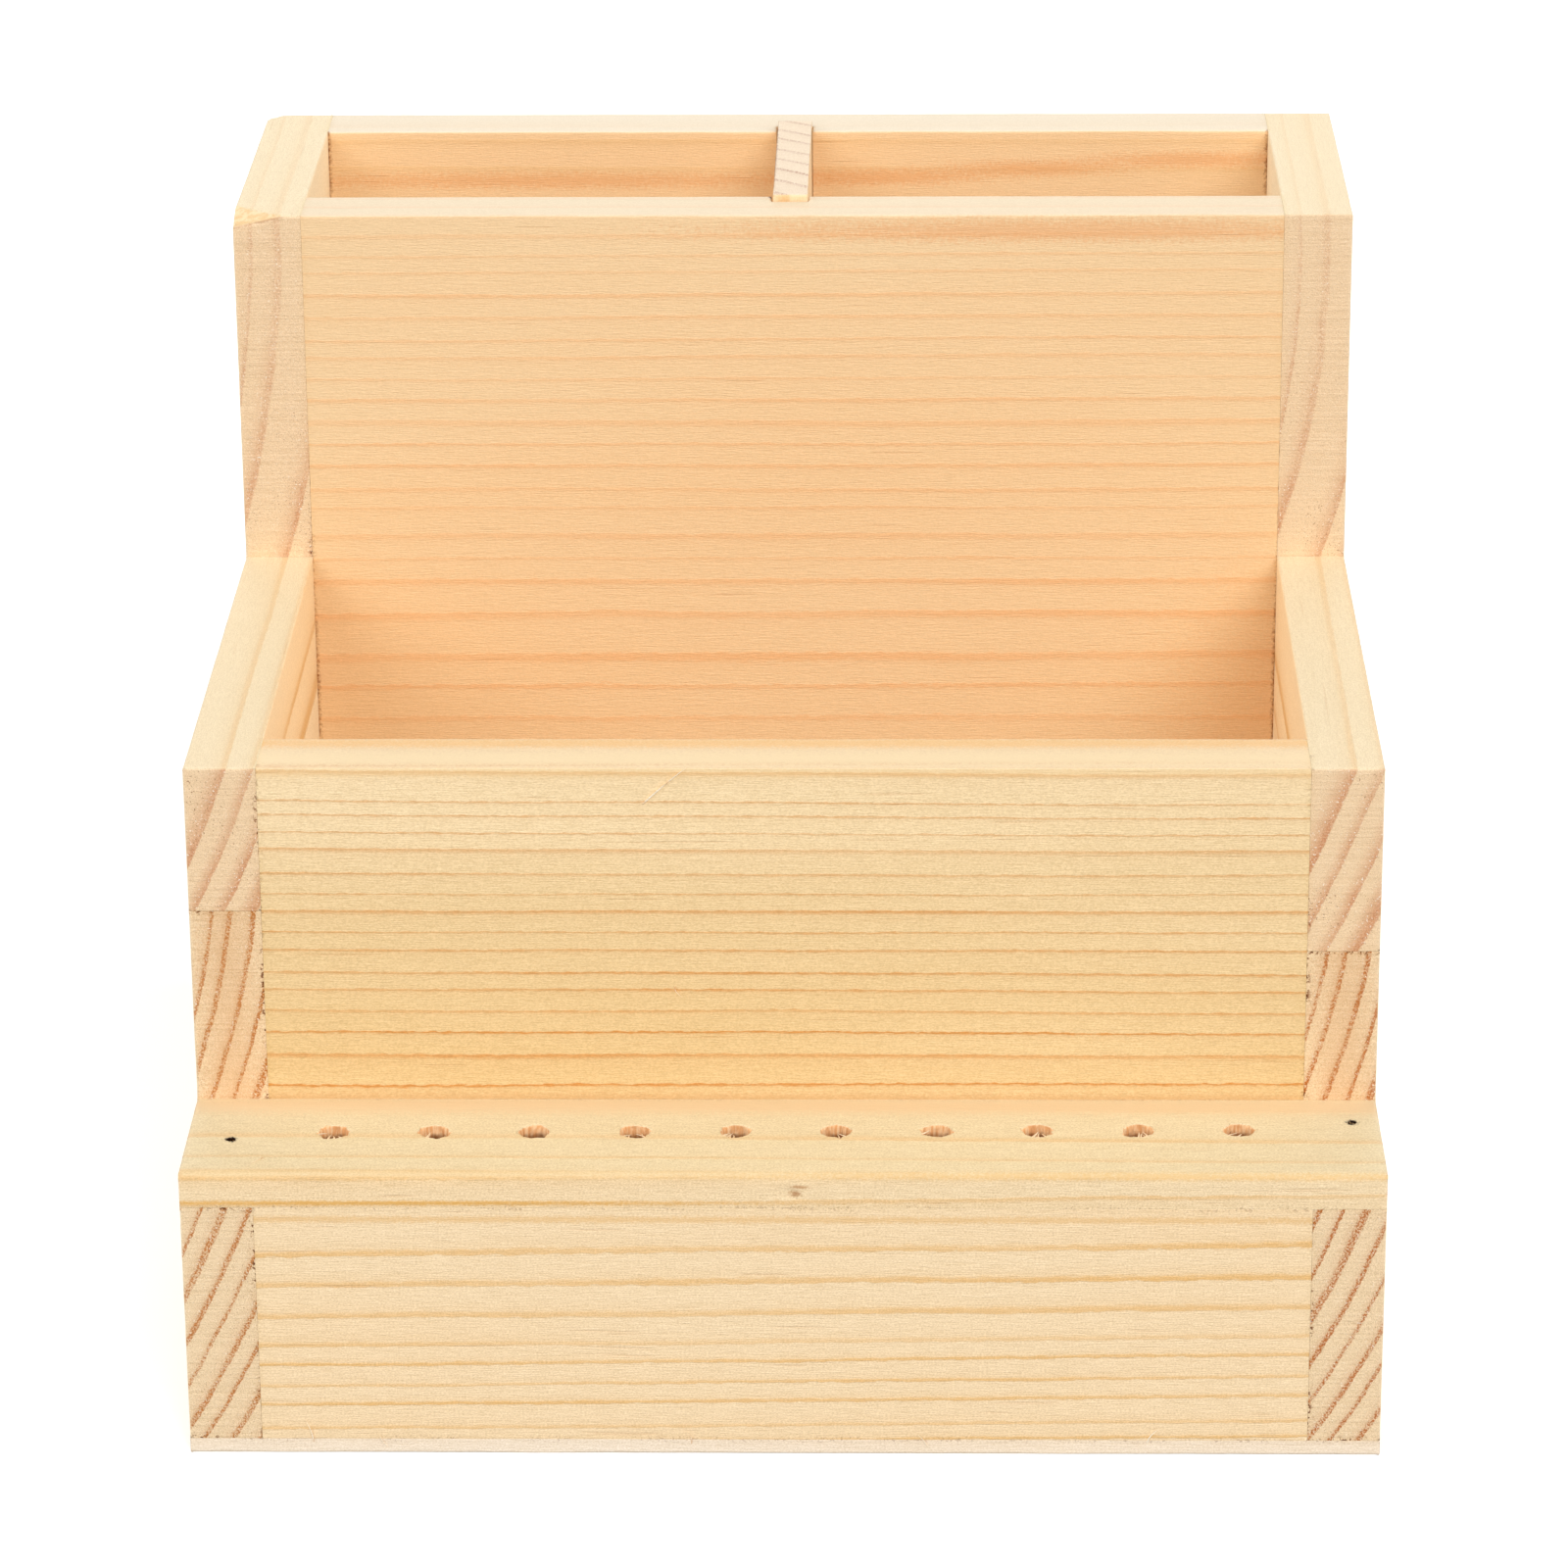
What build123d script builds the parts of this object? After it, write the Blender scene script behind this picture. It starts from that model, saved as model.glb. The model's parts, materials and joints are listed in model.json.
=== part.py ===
"""Stepped pine tool caddy: a drilled rail, an open trough and two tall bins with a lift-out divider.

Millimetres. The origin is the middle of the underside: +X to the right, -Y to the front, +Z up.
"""
from build123d import *
import os

# Overall size and the stock that the boards are cut from
WIDTH = 200.0
DEPTH = 205.0
PANEL = 12.2  # thickness of the glued pine panels
TROUGH_WALL = 14.0  # thickness of the trough's front wall, from heavier stock
THIN = 6.3  # thickness of the rail and the divider
BOTTOM = 2.7  # thickness of the bottom board

# Heights of the three tiers, from the underside
APRON_TOP = 45.5
TROUGH_TOP = 112.0
BIN_TOP = 176.5

# Depths of the three tiers, front to back
RAIL_DEPTH = 30.0
TROUGH_DEPTH = 92.6  # clear depth inside the trough

# Glue seams between the boards of each panel, from the underside
LEFT_SEAM = 86.3
RIGHT_SEAM = 79.1
BIN_WALL_SEAM = 64.0
REAR_SEAM = 83.0

# Row of tool holes along the rail, a little off square as it was marked out by hand
HOLE_COUNT = 10
HOLE_PITCH = 16.87
HOLE_RADIUS = 2.55
HOLE_ROW_X = 0.35  # middle of the row
HOLE_SETBACK = 17.1  # from the rail's front face to the middle of the row
HOLE_ROW_SKEW = 1.2  # how much further back the last hole is than the first
RAIL_EDGE_RADIUS = 1.2

# Divider in its two grooves
DIVIDER_X = -0.4
DIVIDER_PROUD = 1.2  # how far it stands above the walls
GROOVE_DEPTH = 3.3
GROOVE_SIDE_GAP = 0.25
GROOVE_END_GAP = 0.3

# Brads: fine wire pins with small flat heads
SHANK_RADIUS = 0.45
HEAD_RADIUS = 0.6
HEAD_HEIGHT = 0.6
SIDE_BRAD_LENGTH = 28.0
APRON_BRAD_HEIGHTS = (14.0, 34.0)
TROUGH_BRAD_HEIGHTS = (22.0, 60.0, 98.0)
BIN_BRAD_HEIGHTS = (28.0, 92.0, 158.0)
RAIL_BRAD_LENGTH = 20.0
RAIL_BRAD_SINK = 1.0
RAIL_BRAD_PLACES = ((-92.5, 13.4), (95.4, 20.8))  # x, and distance back from the rail's front face
BOTTOM_BRAD_LENGTH = 15.0
BOTTOM_BRADS_ALONG_SIDES = (-82.0, -30.0, 14.0, 70.0)  # y
BOTTOM_BRADS_ALONG_WALLS = (-50.0, 50.0)  # x

# Derived planes
FRONT = -DEPTH / 2
BACK = DEPTH / 2
SIDE_IN = WIDTH / 2 - PANEL
RAIL_TOP = APRON_TOP + THIN
TROUGH_WALL_FRONT = FRONT + RAIL_DEPTH
TROUGH_WALL_BACK = TROUGH_WALL_FRONT + TROUGH_WALL
BIN_WALL_FRONT = TROUGH_WALL_BACK + TROUGH_DEPTH
BIN_WALL_BACK = BIN_WALL_FRONT + PANEL
REAR_WALL_FRONT = BACK - PANEL


def block(x0, x1, y0, y1, z0, z1):
    """A board given by its six face planes."""
    size = (x1 - x0, y1 - y0, z1 - z0)
    return Pos((x0 + x1) / 2, (y0 + y1) / 2, (z0 + z1) / 2) * Box(*size)


def cross_board(y0, z0, z1, thickness=PANEL):
    """A panel that runs between the two sides, with its front face at y0."""
    return block(-SIDE_IN, SIDE_IN, y0, y0 + thickness, z0, z1)


def side_board(hand, z0, z1):
    """The stretch of a stepped side panel between two heights; hand is -1 for left, +1 for right."""
    outline = [
        (FRONT, BOTTOM),
        (FRONT, APRON_TOP),
        (TROUGH_WALL_FRONT, APRON_TOP),
        (TROUGH_WALL_FRONT, TROUGH_TOP),
        (BIN_WALL_FRONT, TROUGH_TOP),
        (BIN_WALL_FRONT, BIN_TOP),
        (BACK, BIN_TOP),
        (BACK, BOTTOM),
    ]
    inner = min(hand * SIDE_IN, hand * WIDTH / 2)
    profile = Plane.YZ.offset(inner) * make_face(Polyline(*outline, close=True))
    return extrude(profile, PANEL) & block(-WIDTH, WIDTH, FRONT, BACK, z0, z1)


def brad(head_point, direction, length):
    """A brad driven from head_point along direction, with its head's flat top at head_point."""
    at = Plane(origin=head_point, z_dir=direction)
    head = extrude(at * Circle(HEAD_RADIUS), HEAD_HEIGHT)
    shank = extrude(at * Circle(SHANK_RADIUS), length)
    return head + shank


def side_brads(hand):
    """The brads through one side panel into the ends of the four cross panels."""
    heights_at = {
        FRONT + PANEL / 2: APRON_BRAD_HEIGHTS,
        TROUGH_WALL_FRONT + TROUGH_WALL / 2: TROUGH_BRAD_HEIGHTS,
        BIN_WALL_FRONT + PANEL / 2: BIN_BRAD_HEIGHTS,
        BACK - PANEL / 2: BIN_BRAD_HEIGHTS,
    }
    face = hand * WIDTH / 2
    return [
        brad((face, y, z), (-hand, 0, 0), SIDE_BRAD_LENGTH)
        for y, heights in heights_at.items()
        for z in heights
    ]


def rail_brads():
    """One sunk brad at each end of the rail, driven by hand and so not in line."""
    top = RAIL_TOP - RAIL_BRAD_SINK
    return [
        brad((x, FRONT + setback, top), (0, 0, -1), RAIL_BRAD_LENGTH)
        for x, setback in RAIL_BRAD_PLACES
    ]


def bottom_brads():
    """Brads up through the bottom board into the side panels and the cross panels."""
    side_middle = WIDTH / 2 - PANEL / 2
    in_sides = [(hand * side_middle, y) for hand in (-1, 1) for y in BOTTOM_BRADS_ALONG_SIDES]
    walls = (FRONT, TROUGH_WALL_FRONT, BIN_WALL_FRONT, REAR_WALL_FRONT)
    in_walls = [(x, y + PANEL / 2) for x in BOTTOM_BRADS_ALONG_WALLS for y in walls]
    return [brad((x, y, 0), (0, 0, 1), BOTTOM_BRAD_LENGTH) for x, y in in_sides + in_walls]


def hole_centres():
    """The tool holes' centres from left to right, as x and y."""
    steps = [i - (HOLE_COUNT - 1) / 2 for i in range(HOLE_COUNT)]
    drift = HOLE_ROW_SKEW / (HOLE_COUNT - 1)
    return [(HOLE_ROW_X + s * HOLE_PITCH, FRONT + HOLE_SETBACK + s * drift) for s in steps]


def tool_rail():
    """The drilled rail on top of the apron, with an eased front edge and two brad pits."""
    rail = block(-WIDTH / 2, WIDTH / 2, FRONT, TROUGH_WALL_FRONT, APRON_TOP, RAIL_TOP)
    front_top = rail.edges().filter_by(Axis.X).group_by(Axis.Z)[-1].sort_by(Axis.Y)[0]
    rail = fillet(front_top, RAIL_EDGE_RADIUS)
    for x, y in hole_centres():
        rail -= Pos(x, y, APRON_TOP + THIN / 2) * Cylinder(HOLE_RADIUS, 2 * THIN)
    for sunk in rail_brads():
        head = sunk.center(CenterOf.BOUNDING_BOX)
        rail -= Pos(head.X, head.Y, RAIL_TOP) * Cylinder(HEAD_RADIUS, 2 * RAIL_BRAD_SINK)
    return rail


def groove(y0, y1):
    """The slot that one edge of the divider slides in, cut right through to the wall's top."""
    half = THIN / 2 + GROOVE_SIDE_GAP
    return block(DIVIDER_X - half, DIVIDER_X + half, y0, y1, BOTTOM, BIN_TOP + DIVIDER_PROUD)


def bin_divider():
    """The loose board between the bins, as tall as the bins are deep and a little more."""
    reach = GROOVE_DEPTH - GROOVE_END_GAP
    return block(
        DIVIDER_X - THIN / 2,
        DIVIDER_X + THIN / 2,
        BIN_WALL_BACK - reach,
        REAR_WALL_FRONT + reach,
        BOTTOM,
        BIN_TOP + DIVIDER_PROUD,
    )


front_groove = groove(BIN_WALL_BACK - GROOVE_DEPTH, BIN_WALL_BACK)
rear_groove = groove(REAR_WALL_FRONT, REAR_WALL_FRONT + GROOVE_DEPTH)

wood = {
    "bottom_board": block(-WIDTH / 2, WIDTH / 2, FRONT, BACK, 0, BOTTOM),
    "left_side_lower_board": side_board(-1, BOTTOM, LEFT_SEAM),
    "left_side_upper_board": side_board(-1, LEFT_SEAM, BIN_TOP),
    "right_side_lower_board": side_board(1, BOTTOM, RIGHT_SEAM),
    "right_side_upper_board": side_board(1, RIGHT_SEAM, BIN_TOP),
    "front_apron": cross_board(FRONT, BOTTOM, APRON_TOP),
    "tool_rail": tool_rail(),
    "trough_front_wall": cross_board(TROUGH_WALL_FRONT, BOTTOM, TROUGH_TOP, TROUGH_WALL),
    "bin_front_wall_lower_board": cross_board(BIN_WALL_FRONT, BOTTOM, BIN_WALL_SEAM) - front_groove,
    "bin_front_wall_upper_board": cross_board(BIN_WALL_FRONT, BIN_WALL_SEAM, BIN_TOP) - front_groove,
    "rear_wall_lower_board": cross_board(REAR_WALL_FRONT, BOTTOM, REAR_SEAM) - rear_groove,
    "rear_wall_upper_board": cross_board(REAR_WALL_FRONT, REAR_SEAM, BIN_TOP) - rear_groove,
    "bin_divider": bin_divider(),
}

brads = {
    "rail_brads": rail_brads(),
    "left_side_brads": side_brads(-1),
    "right_side_brads": side_brads(1),
    "bottom_brads": bottom_brads(),
}

# Every board is drilled by the brads that pass through it
for node in wood:
    for group in brads.values():
        for one in group:
            if (wood[node] & one).volume > 0.01:
                wood[node] -= one

os.makedirs("parts", exist_ok=True)
for node, shape in wood.items():
    export_step(shape, f"parts/{node}.step")
for node, group in brads.items():
    export_step(Compound(children=group), f"parts/{node}.step")
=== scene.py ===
"""Looks of the stepped pine tool caddy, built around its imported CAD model.

Object space is the CAD's own frame in metres: +X to the right, -Y to the front, +Z up. Distances in the
settings below are millimetres and are turned into metres where they are used.
"""

import json
import math
import zlib
from dataclasses import dataclass
from functools import reduce

import bmesh
import bpy
import numpy as np
from mathutils import Matrix, Vector


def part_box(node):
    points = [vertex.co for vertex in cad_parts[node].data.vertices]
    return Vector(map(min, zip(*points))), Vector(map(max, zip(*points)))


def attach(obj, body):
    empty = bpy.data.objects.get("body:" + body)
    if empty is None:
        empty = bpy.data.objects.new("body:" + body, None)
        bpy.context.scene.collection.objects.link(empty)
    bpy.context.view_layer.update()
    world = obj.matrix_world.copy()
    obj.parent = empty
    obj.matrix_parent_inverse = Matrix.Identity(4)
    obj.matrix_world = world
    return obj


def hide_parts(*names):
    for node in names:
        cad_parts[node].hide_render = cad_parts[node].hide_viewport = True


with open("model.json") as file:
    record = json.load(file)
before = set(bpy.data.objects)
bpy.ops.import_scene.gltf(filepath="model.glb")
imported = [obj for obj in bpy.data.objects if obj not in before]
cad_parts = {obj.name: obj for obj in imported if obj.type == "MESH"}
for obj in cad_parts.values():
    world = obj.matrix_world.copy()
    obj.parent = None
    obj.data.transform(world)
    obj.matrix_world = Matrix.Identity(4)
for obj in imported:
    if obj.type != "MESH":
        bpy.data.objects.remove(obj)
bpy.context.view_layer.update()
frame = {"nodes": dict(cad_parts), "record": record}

MM = 0.001
HANDS = ((-1, "left"), (1, "right"))

# Camera
CAMERA_PLACE = (21.762, -1036.573, 486.142)
CAMERA_TURN = (21.348, -1.280, -0.4536)  # degrees below the horizon, to the right, and of roll
LENS = 142.93
SENSOR_WIDTH = 36
CLIP_END = 50  # metres

# Light: name, azimuth, elevation and strength, where 1 is as bright as a white surround of strength 1
LIGHTS = (
    ("key", 25, 36, 0.50),
    ("fill", -32, 34, 0.34),
    ("right", 88, 20, 0.38),
    ("left", -88, 20, 0.36),
    ("back", 180, 25, 0.20),
)
LIGHT_SPREAD = 35
SURROUND = 0.36
FLOOR_HALF = 12.0  # metres from the middle to the floor's edges
FLOOR_GLOW = 0.23  # a light table, so that shadows stay faint

# Grid of the board meshes
PITCH = 1.2  # between grid planes on open faces
PITCHES = {"tool_rail": 0.8, "bottom_board": 1.8}  # boards with a pitch of their own
INSETS = (0.05, 0.12, 0.22, 0.36, 0.55, 0.8, 1.2)  # grid planes beside every edge
FINER_STEP = 0.3  # between the extra planes around a brad's head
FINER_COUNT = 4  # extra planes on each side of the head's middle

# Wear on the boards' edges
EDGE_RADIUS = 0.42
JOINT_RADIUS = 0.035  # where an edge meets another board
RAIL_FRONT_RADIUS = 1.2
TROUGH_RIM_RADIUS = 0.1
DIVIDER_TOP_RADIUS = 0.2
WORN_SWINGS = ((0.22, 11.0), (0.14, 2.3))  # share of the radius, and length along the edge
WORN_CHIPS = (1.6, 4.1, 0.82)  # depth, length along the edge, and the noise that a chip starts from
JOINT_SWINGS = ((0.5, 3.7),)
JOINT_CHIPS = (0.9, 1.7, 0.76)
ROUNDED_REACH = 2.4  # how far from an edge its rounding is looked for
TOUCH = 0.3  # a board this near to an edge makes it a joint
WEAR_REACH = 0.6  # how far from an edge the wood looks worn
SEAM_REACH = 0.45  # how far from a joint line it looks dirty
NOISE_CYCLE = 509  # draws before the wear along an edge repeats
APART = (31.7, 17.3)  # shifts that make parallel edges wear differently
KNOCK = (9.0, 6.6, 2.1)  # the corner knocked off the left side: its reach inwards, back and down
REAR_KNOCK = 3.2  # the reach of the smaller one behind it

# The divider's grooves, which it fits more closely on its right
GROOVE_LEFT_GAP = 0.25
GROOVE_RIGHT_GAP = 0.1
GROOVE_END_GAP = 0.3
GROOVE_EDGE_RADIUS = 0.1

# Brads, set a little below the wood
HEAD_SKIN = 0.02  # a head's flat top is this thin at most
HEAD_REACH = 2.0  # and narrower than this
DIMPLE_DEPTH = 0.22
DIMPLE_INNER = 0.55  # the dimple is flat up to here
DIMPLE_OUTER = 1.25

# Drilled holes
HOLE_SHARE = 0.97  # the drill's path against the full hole, which its roughness then reaches
FLUTE_DEPTH = 0.13  # how far the drill tore the walls between fibres
TEAR_DEPTH = 0.6  # and the mouth
BREAK_DEPTH = 0.1  # how far the mouth's sharp edge broke away
TEAR_FADE = 0.45  # the depth over which the tears die out
BREAK_FADE = 0.07
MOUTH_DEPTH = 1.6  # down to here the drill's path is made of closer rings
MOUTH_LEVELS = np.array([0, 0.03, 0.08, 0.18, 0.35, 0.6, 1])  # their depths as shares of it
BELOW_MOUTH = 2.4  # the first of the rings below
ABOVE_MOUTH = 0.8  # the drill's path starts this far above the wood
DRILL_PAST = 1.0  # and ends this far below
TORN_FIBRES = (4, 1, 0, 4, 5, 2, 1, 4, 5, 2)  # left standing in each hole, from left to right
FIBRE_ROOT = 2.75  # how far from the hole's middle they are still held
BORE_REACH = 3.6  # no wall of a hole is further from its middle
SLIVER = 0.002  # edges shorter than this are taken out before a cut
SHARP_ANGLE = 50  # degrees, beyond which a drilled edge is sharp
PIT_RADIUS = 0.7  # of the pits over the rail's brads
PIT_DEPTH = 1.0  # down to the brads' heads

# The dent in the rail's front
DENT = (1.3, 2.9)  # x, and height above the apron
DENT_REACH = (1.3, 2.0, 0.5)
DENT_DEPTH = 0.5


def seed_of(name):
    """A seed for this name's random draws, the same in every run."""
    return zlib.crc32(name.encode())


# ---------------- boards as meshes


def corners(node):
    """A CAD node's lowest and highest corners, rounded to a tenth of a micrometre."""
    return np.round(np.array([tuple(c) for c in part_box(node)]), 7)


def extent(boxes):
    """The lowest and highest corners of some boxes together."""
    return np.min([low for low, _ in boxes], axis=0), np.max([high for _, high in boxes], axis=0)


def grid_lines(marks, pitch):
    """Grid planes from the first mark to the last, close together on both sides of each mark."""
    lines = [marks[-1]]
    for low, high in zip(marks, marks[1:]):
        near = [step * MM for step in INSETS if step * MM < (high - low) / 2]
        start, stop = low + near[-1], high - near[-1]
        count = max(1, round((stop - start) / pitch))
        lines += [low, *(low + step for step in near), *(high - step for step in near)]
        lines += list(np.linspace(start, stop, count + 1))
    return np.unique(np.round(lines, 7))


def filled_cells(grids, solids, cuts):
    """Which cells of the grid hold wood."""
    middles = [(grid[1:] + grid[:-1]) / 2 for grid in grids]

    def inside(box):
        spans = [(m > low) & (m < high) for m, low, high in zip(middles, box[0], box[1])]
        return spans[0][:, None, None] & spans[1][None, :, None] & spans[2][None, None, :]

    wood = np.zeros([len(m) for m in middles], bool)
    for box in solids:
        wood |= inside(box)
    for box in cuts:
        wood &= ~inside(box)
    return wood


def skin(wood):
    """The quads between wood and air, as grid point indices, wound to face outwards."""
    quads = []
    for axis in range(3):
        sides = [(1, 1) if a == axis else (0, 0) for a in range(3)]
        padded = np.moveaxis(np.pad(wood, sides), axis, 0)
        before = np.moveaxis(padded[:-1], 0, axis)
        after = np.moveaxis(padded[1:], 0, axis)
        step = np.eye(3, dtype=int)
        across, along = step[(axis + 1) % 3], step[(axis + 2) % 3]
        for faces, turn in ((before & ~after, 1), (~before & after, -1)):
            first = np.argwhere(faces)
            ring = [first, first + across, first + across + along, first + along]
            quads.append(np.stack(ring[::turn], axis=1))
    return np.concatenate(quads)


def depth_below_face(wood, grids, axis, side):
    """For every grid point, how far the wood goes on from it along an axis before its face."""
    line = grids[axis] * side
    cells = np.moveaxis(wood, axis, 0)
    if side < 0:
        line, cells = line[::-1], cells[::-1]
    end = np.empty((len(line), *cells.shape[1:]))
    end[-1] = line[-1]
    for i in range(len(line) - 2, -1, -1):
        end[i] = np.where(cells[i], end[i + 1], line[i])
    wide = np.pad(end, ((0, 0), (1, 1), (1, 1)), constant_values=-np.inf)
    around = [wide[:, :-1, :-1], wide[:, 1:, :-1], wide[:, :-1, 1:], wide[:, 1:, 1:]]
    depth = np.maximum.reduce(around) - line[:, None, None]
    return np.moveaxis(depth[::-1] if side < 0 else depth, 0, axis)


def wander(at, step, seed):
    """Smooth noise from -1 to 1 along a line, with a feature about every step."""
    values = np.random.default_rng(seed).uniform(-1, 1, NOISE_CYCLE)
    place = at / step
    cell = np.floor(place).astype(int)
    part = place - cell
    part = part * part * (3 - 2 * part)
    return values[cell % NOISE_CYCLE] * (1 - part) + values[(cell + 1) % NOISE_CYCLE] * part


def covered(points, boxes):
    """Which points lie in any of the boxes."""
    hit = np.zeros(len(points), bool)
    for low, high in boxes:
        hit |= np.all((points > low) & (points < high), axis=1)
    return hit


def uneven_radius(radius, swings, chips, along, seed):
    """A radius that swings along its edge, and grows where the edge is chipped."""
    varied = 1
    for i, (share, length) in enumerate(swings):
        varied = varied + share * wander(along, length, seed + i)
    depth, length, start = chips
    return radius * varied + depth * np.clip(wander(along, length, seed + len(swings)) - start, 0, 1)


def edge_radii(edge, pair, sides, seed, neighbours, round_edges):
    """The radius at each point of one kind of edge, and whether another board meets it there."""
    a, b = pair
    along = edge[:, 3 - a - b] / MM + APART[0] * edge[:, a] / MM + APART[1] * edge[:, b] / MM
    beside = np.zeros(3)
    beside[a], beside[b] = TOUCH * MM * sides[0], -TOUCH * MM * sides[1]
    joined = covered(edge + beside, neighbours) | covered(edge - beside, neighbours)
    seed = seed + 9 * a + 3 * sides[0] + sides[1]
    base = round_edges.get((a, sides[0], b, sides[1]), EDGE_RADIUS)
    worn = uneven_radius(base, WORN_SWINGS, WORN_CHIPS, along, seed)
    tight = uneven_radius(JOINT_RADIUS, JOINT_SWINGS, JOINT_CHIPS, along, seed + 3)
    return np.where(joined, tight, worn) * MM, joined


def rounded(depth_a, depth_b, radius):
    """How deep points beside an edge lie below its two faces once the edge is rounded."""
    u = radius - depth_a
    w = radius - depth_b
    hit = (u > 0) & (w > 0)
    span = np.maximum(np.hypot(u, w), 1e-9)
    return (
        np.where(hit, radius - radius * u / span, depth_a),
        np.where(hit, radius - radius * w / span, depth_b),
    )


def soften_edges(points, depth, seed, neighbours, round_edges):
    """Rounds a board's edges in place. Gives how worn each point is and how near a joint line."""
    reach = ROUNDED_REACH * MM
    wear, seam = np.zeros((2, len(points)))
    start = points.copy()
    for a, b in ((0, 1), (1, 2), (0, 2)):
        for sides in ((-1, -1), (-1, 1), (1, -1), (1, 1)):
            depth_a, depth_b = depth[a, sides[0]], depth[b, sides[1]]
            near = np.flatnonzero((depth_a < reach) & (depth_b < reach))
            if not len(near):
                continue
            edge = start[near].copy()
            edge[:, a] += sides[0] * depth_a[near]
            edge[:, b] += sides[1] * depth_b[near]
            radius, joined = edge_radii(edge, (a, b), sides, seed, neighbours, round_edges)
            new_a, new_b = rounded(depth_a[near], depth_b[near], radius)
            points[near, a] -= sides[0] * (new_a - depth_a[near])
            points[near, b] -= sides[1] * (new_b - depth_b[near])
            away = np.hypot(depth_a[near], depth_b[near])
            depth_a[near], depth_b[near] = new_a, new_b
            for values, fade, there in ((wear, WEAR_REACH, ~joined), (seam, SEAM_REACH, joined)):
                shown = there * np.exp(-((away / (fade * MM)) ** 2))
                values[near] = np.maximum(values[near], shown)
    return wear, seam


def board_grids(solids, cuts, pitch, finer_at):
    """A board's grid planes on each axis, closer together around the places in finer_at."""
    low, high = extent(solids)
    beside = np.arange(-FINER_COUNT, FINER_COUNT + 1) * FINER_STEP * MM
    grids = []
    for axis in range(3):
        marks = [box[side][axis] for box in [*solids, *cuts] for side in (0, 1)]
        marks = [m for m in marks if low[axis] <= m <= high[axis]]
        lines = grid_lines(np.unique(np.round(marks, 7)), pitch * MM)
        extra = [v for place in finer_at for v in place[axis] + beside]
        extra = [v for v in extra if low[axis] < v < high[axis]]
        grids.append(np.unique(np.round([*lines, *extra], 6)))
    return grids


def board_mesh(name, solids, cuts, neighbours, pitch, round_edges, finer_at):
    """A closed mesh of a board made of boxes with slots cut in it, its edges eased unevenly."""
    grids = board_grids(solids, cuts, pitch, finer_at)
    wood = filled_cells(grids, solids, cuts)
    shape = [len(grid) for grid in grids]
    corner_ids = np.ravel_multi_index(np.moveaxis(skin(wood), -1, 0), shape)
    used, quads = np.unique(corner_ids, return_inverse=True)
    quads = quads.reshape(corner_ids.shape)
    index = np.unravel_index(used, shape)
    points = np.stack([grid[i] for grid, i in zip(grids, index)], axis=1)
    depth = {
        (axis, side): depth_below_face(wood, grids, axis, side)[index]
        for axis in range(3)
        for side in (-1, 1)
    }
    for values in depth.values():
        values[values < 0] = np.inf
    wear, seam = soften_edges(points, depth, seed_of(name), neighbours, round_edges)
    mesh = bpy.data.meshes.new(name)
    mesh.from_pydata(points.tolist(), [], quads.tolist())
    write_values(mesh, "wear", wear)
    write_values(mesh, "seam", seam)
    mesh.shade_smooth()
    return mesh


def read_points(mesh):
    points = np.empty(len(mesh.vertices) * 3, np.float32)
    mesh.vertices.foreach_get("co", points)
    return points.reshape(-1, 3).astype(float)


def write_points(mesh, points):
    mesh.vertices.foreach_set("co", points.astype(np.float32).ravel())
    mesh.update()


def write_values(mesh, label, values):
    mesh.attributes.new(label, "FLOAT", "POINT").data.foreach_set("value", values.astype(np.float32))


def smoothstep(low, high, value):
    part = np.clip((value - low) / (high - low), 0, 1)
    return part * part * (3 - 2 * part)


# ---------------- brads


def head_centres(node, axis, side):
    """Where the heads of a group of brads lie, from the node's own mesh."""
    points = read_points(frame["nodes"][node].data)
    face = (points[:, axis] * side).max()
    points = points[points[:, axis] * side > face - HEAD_SKIN * MM]
    centres = []
    while len(points):
        mine = np.linalg.norm(points - points[0], axis=1) < HEAD_REACH * MM
        centres.append((points[mine].min(0) + points[mine].max(0)) / 2)
        points = points[~mine]
    return centres


def press_dimples(mesh, centres, axis, side):
    """Sinks the wood a little around each brad's head, where the hammer set it."""
    points = read_points(mesh)
    for centre in centres:
        away = np.linalg.norm(points - centre, axis=1)
        sink = DIMPLE_DEPTH * MM * (1 - smoothstep(DIMPLE_INNER * MM, DIMPLE_OUTER * MM, away))
        points[:, axis] -= side * sink
    write_points(mesh, points)


# ---------------- materials

# Noises in the pine, drawn out along the grain: stretch, size, detail, roughness and shift
SWAY = (5.0, 60.0, 1.0, 0.5, 0)
RIPPLE = (6.0, 7.0, 2.0, 0.5, 9)
FRAY = (5.0, 0.45, 2.0, 0.6, 5)
FADING = (9.0, 9.0, 1.0, 0.5, 8)
PATCHES = (6.0, 26.0, 2.0, 0.5, 3)
FIBRES = (18.0, 0.22, 2.0, 0.7, 1)
FLUFF = (6.0, 0.22, 2.0, 0.7, 12)
CELLS = (3.0, 0.34, 2.0, 0.6, 2)
SPECKS = (3.0, 0.34, 1.0, 0.5, 13)
GRIT = (2.2, 0.17, 1.0, 0.6, 14)
CANALS = (26.0, 0.85, 1.0, 0.5, 7)

# And those that are alike in every direction: size, detail, roughness and shift
GRIME = (0.6, 2.0, 0.6, 6)
GRIME_CLUSTERS = (14.0, 1.0, 0.5, 16)
TORN = (0.3, 1.0, 0.5, 17)
TORN_CLUSTERS = (9.0, 1.0, 0.5, 18)

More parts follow.
